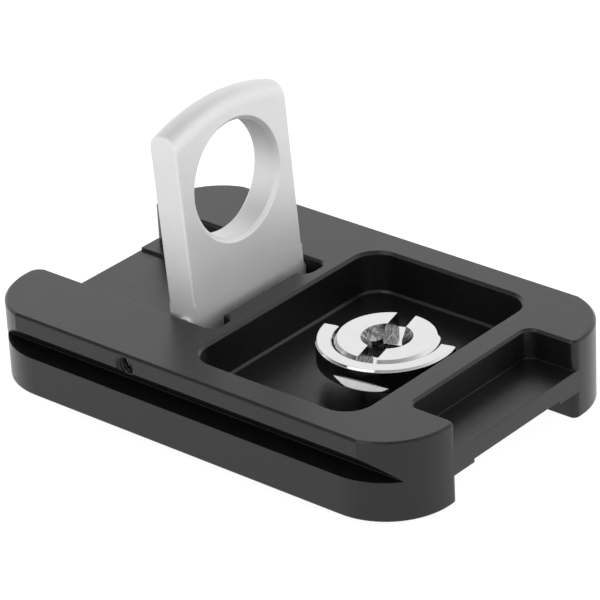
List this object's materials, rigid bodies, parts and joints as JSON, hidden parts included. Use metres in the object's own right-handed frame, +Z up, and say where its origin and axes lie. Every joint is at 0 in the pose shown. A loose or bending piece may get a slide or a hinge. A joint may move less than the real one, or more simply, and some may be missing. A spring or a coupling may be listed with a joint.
{
  "type": "tripod quick release plate",
  "caption": "Dovetail quick release plate with a captive camera screw, a folding bail on its head and a flip-up ring tab.",
  "frame": {"origin": "middle of the camera-side face, which faces down", "axes": "+X along the plate away from the tab, +Y across it, +Z up through the clamp side"},
  "size_m": [0.0588, 0.0386, 0.0334],
  "materials": {
    "black_anodised": "satin black anodised",
    "blasted_aluminium": "bead blasted, clear anodised",
    "polished_steel": "polished",
    "plain_steel": "plain turned"
  },
  "bodies": {
    "plate": {"plate_body": "black_anodised", "pin_set_screw": "plain_steel"},
    "tab": {"flip_tab": "blasted_aluminium", "hinge_pin": "plain_steel"},
    "clip": {"retaining_clip": "plain_steel"},
    "screw": {"camera_screw": "polished_steel"},
    "bail": {"screw_bail": "polished_steel", "bail_pin_left": "plain_steel", "bail_pin_right": "plain_steel"}
  },
  "joints": [
    {"name": "tab_fold", "type": "hinge", "parent": "plate", "child": "tab", "pos_m": [-0.0078, 0, 0.00775], "axis": [0, -1, 0], "range_deg": [0, 85.9]},
    {"name": "screw_lift", "type": "slide", "parent": "plate", "child": "clip", "axis": [0, 0, -1], "range_m": [0, 0.00225]},
    {"name": "screw_turn", "type": "hinge", "parent": "clip", "child": "screw", "pos_m": [0.01245, 0, 0], "axis": [0, 0, 1], "continuous": true},
    {"name": "bail_fold", "type": "hinge", "parent": "screw", "child": "bail", "pos_m": [0.01245, 0, 0.00795], "axis": [-0.9659, -0.2588, 0], "range_deg": [0, 180]}
  ]
}
